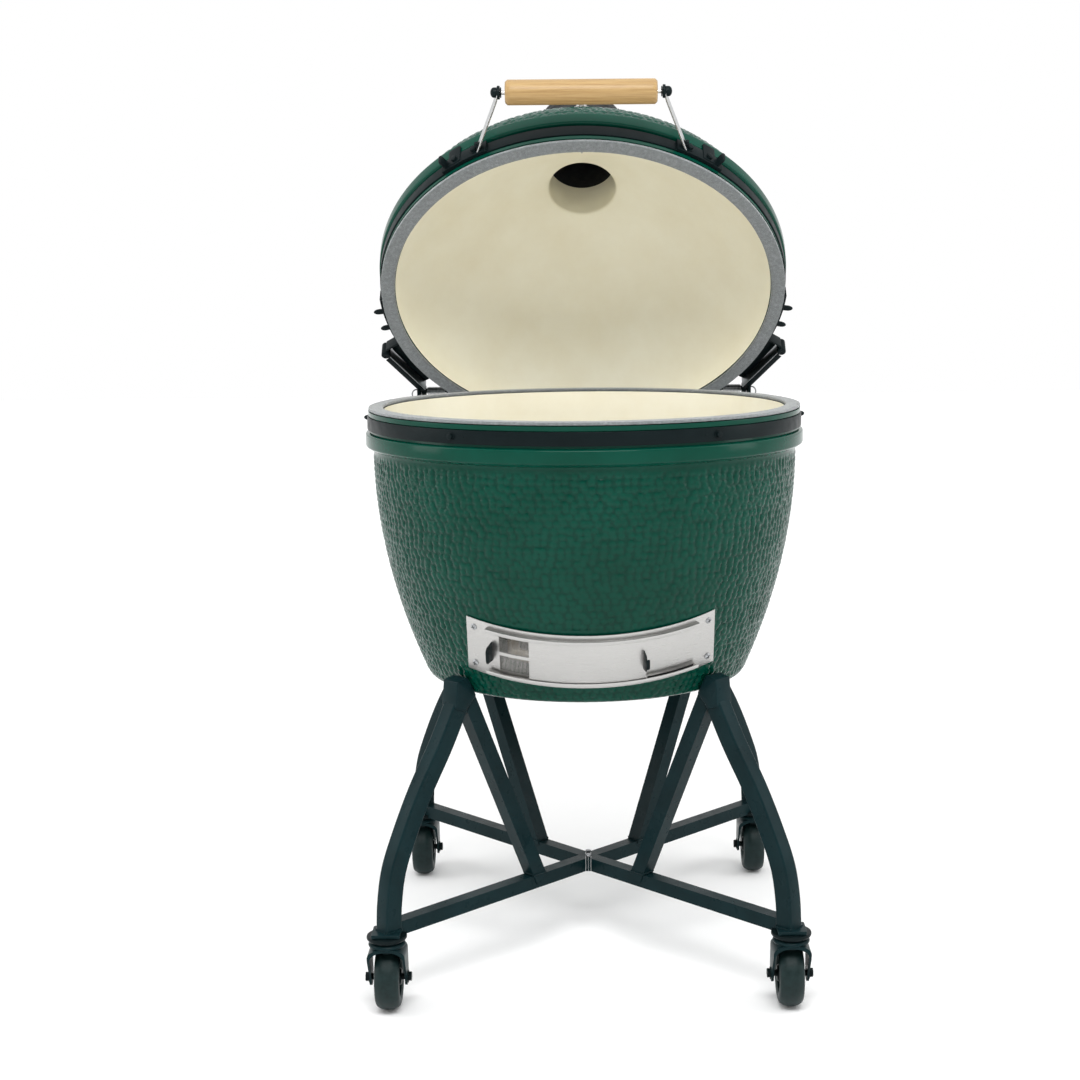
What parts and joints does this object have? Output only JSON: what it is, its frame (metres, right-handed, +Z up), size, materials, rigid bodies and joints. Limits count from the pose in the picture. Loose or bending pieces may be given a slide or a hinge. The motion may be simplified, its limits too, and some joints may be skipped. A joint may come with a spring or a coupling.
{
  "type": "kamado ceramic grill",
  "caption": "Egg-shaped ceramic grill with a dimpled glaze, a hinged dome lid held open, a draft door, a chimney vent and a wheeled steel stand.",
  "frame": {"origin": "centre of the open grill's box, on the floor under the casters", "axes": "+Z up, -Y towards the front with the draft door, +X to the grill's right-hand side seen from the front"},
  "size_m": [0.7312, 0.9515, 1.4444],
  "materials": {
    "green_glaze": "glossy dimpled glaze",
    "cream_ceramic": "matt unglazed inside",
    "grey_felt": "pressed felt",
    "black_steel": "satin black powder coat",
    "stand_paint": "semi-gloss dark green-black powder coat",
    "stainless": "brushed",
    "spring_steel": "oiled spring wire",
    "light_wood": "clear lacquered hardwood",
    "cast_iron": "seasoned black cast iron",
    "caster_rubber": "hard rubber tread"
  },
  "bodies": {
    "root": {"base_bowl": "green_glaze", "base_gasket": "grey_felt", "lower_band": "black_steel", "firebox": "cream_ceramic", "fire_grate": "cast_iron", "fire_ring": "cream_ceramic", "cooking_grid": "stainless", "draft_frame": "stainless", "hinge_base_bracket_right": "black_steel", "hinge_base_bracket_left": "black_steel", "hub_plate_left": "stand_paint", "hub_plate_right": "stand_paint", "cradle_bar_left": "stand_paint", "cradle_bar_right": "stand_paint", "leg_front_left": "stand_paint", "rail_front_left": "stand_paint", "strut_front_left": "stand_paint", "caster_stem_front_left": "cast_iron", "leg_front_right": "stand_paint", "rail_front_right": "stand_paint", "strut_front_right": "stand_paint", "caster_stem_front_right": "cast_iron", "leg_rear_left": "stand_paint", "rail_rear_left": "stand_paint", "strut_rear_left": "stand_paint", "caster_stem_rear_left": "cast_iron", "leg_rear_right": "stand_paint", "rail_rear_right": "stand_paint", "strut_rear_right": "stand_paint", "caster_stem_rear_right": "cast_iron"},
    "hinge_arms": {"hinge_arm_right": "black_steel", "hinge_arm_left": "black_steel", "hinge_spring_right": "spring_steel", "hinge_spring_left": "spring_steel"},
    "lid": {"lid_dome": "green_glaze", "lid_gasket": "grey_felt", "upper_band": "black_steel", "thermometer": "stainless", "handle_grip": "light_wood", "handle_rod": "black_steel", "vent_base": "cast_iron", "lid_bracket_right": "black_steel", "lid_bracket_left": "black_steel", "handle_bracket_right": "black_steel", "handle_bracket_left": "black_steel"},
    "vent_cap": {"vent_cap": "cast_iron"},
    "vent_damper": {"vent_damper": "cast_iron"},
    "draft_door": {"draft_door": "stainless"},
    "draft_screen": {"draft_screen": "stainless", "draft_screen_tab": "stainless"},
    "caster_front_left": {"caster_fork_front_left": "black_steel"},
    "wheel_front_left": {"caster_wheel_front_left": "caster_rubber"},
    "caster_front_right": {"caster_fork_front_right": "black_steel"},
    "wheel_front_right": {"caster_wheel_front_right": "caster_rubber"},
    "caster_rear_left": {"caster_fork_rear_left": "black_steel"},
    "wheel_rear_left": {"caster_wheel_rear_left": "caster_rubber"},
    "caster_rear_right": {"caster_fork_rear_right": "black_steel"},
    "wheel_rear_right": {"caster_wheel_rear_right": "caster_rubber"},
    "brake_front_left": {"brake_pedal_front_left": "black_steel"},
    "brake_front_right": {"brake_pedal_front_right": "black_steel"}
  },
  "joints": [
    {"name": "lid_lift", "type": "hinge", "parent": "root", "child": "hinge_arms", "pos_m": [0, 0.202, 0.8389], "axis": [1, 0, 0], "range_deg": [0, 89.37]},
    {"name": "lid_tilt", "type": "hinge", "parent": "hinge_arms", "child": "lid", "pos_m": [0, 0.29292, 0.90134], "axis": [1, 0, 0], "range_deg": [-46, 1]},
    {"name": "draft_door_slide", "type": "hinge", "parent": "root", "child": "draft_door", "pos_m": [0, -0.1251, 0.6583], "axis": [0, -0.3746, 0.9272], "range_deg": [-11, 15]},
    {"name": "draft_screen_slide", "type": "hinge", "parent": "root", "child": "draft_screen", "pos_m": [0, -0.1251, 0.6583], "axis": [0, -0.3746, 0.9272], "range_deg": [0, 10.5]},
    {"name": "vent_cap_swing", "type": "hinge", "parent": "lid", "child": "vent_cap", "pos_m": [0.072, 0.31279, 1.28292], "axis": [0, 0.7176, 0.6964], "range_deg": [0, 90]},
    {"name": "vent_damper_turn", "type": "hinge", "parent": "vent_cap", "child": "vent_damper", "pos_m": [0, 0.31279, 1.28292], "axis": [0, 0.7176, 0.6964], "range_deg": [0, 36]},
    {"name": "caster_swivel_front_left", "type": "hinge", "parent": "root", "child": "caster_front_left", "pos_m": [-0.309, -0.4302, 0.1], "axis": [0, 0, 1], "continuous": true},
    {"name": "wheel_spin_front_left", "type": "hinge", "parent": "caster_front_left", "child": "wheel_front_left", "pos_m": [-0.309, -0.4142, 0.05], "axis": [1, 0, 0], "continuous": true},
    {"name": "caster_swivel_front_right", "type": "hinge", "parent": "root", "child": "caster_front_right", "pos_m": [0.309, -0.4302, 0.1], "axis": [0, 0, 1], "continuous": true},
    {"name": "wheel_spin_front_right", "type": "hinge", "parent": "caster_front_right", "child": "wheel_front_right", "pos_m": [0.309, -0.4142, 0.05], "axis": [1, 0, 0], "continuous": true},
    {"name": "caster_swivel_rear_left", "type": "hinge", "parent": "root", "child": "caster_rear_left", "pos_m": [-0.309, 0.1878, 0.1], "axis": [0, 0, 1], "continuous": true},
    {"name": "wheel_spin_rear_left", "type": "hinge", "parent": "caster_rear_left", "child": "wheel_rear_left", "pos_m": [-0.309, 0.2038, 0.05], "axis": [1, 0, 0], "continuous": true},
    {"name": "caster_swivel_rear_right", "type": "hinge", "parent": "root", "child": "caster_rear_right", "pos_m": [0.309, 0.1878, 0.1], "axis": [0, 0, 1], "continuous": true},
    {"name": "wheel_spin_rear_right", "type": "hinge", "parent": "caster_rear_right", "child": "wheel_rear_right", "pos_m": [0.309, 0.2038, 0.05], "axis": [1, 0, 0], "continuous": true},
    {"name": "brake_front_left", "type": "hinge", "parent": "caster_front_left", "child": "brake_front_left", "pos_m": [-0.309, -0.4032, 0.096], "axis": [1, 0, 0], "range_deg": [0, 12]},
    {"name": "brake_front_right", "type": "hinge", "parent": "caster_front_right", "child": "brake_front_right", "pos_m": [0.309, -0.4032, 0.096], "axis": [1, 0, 0], "range_deg": [0, 12]}
  ],
  "couplings": [
    {"joint": "lid_tilt", "follows": "lid_lift", "ratio": -0.49364}
  ]
}
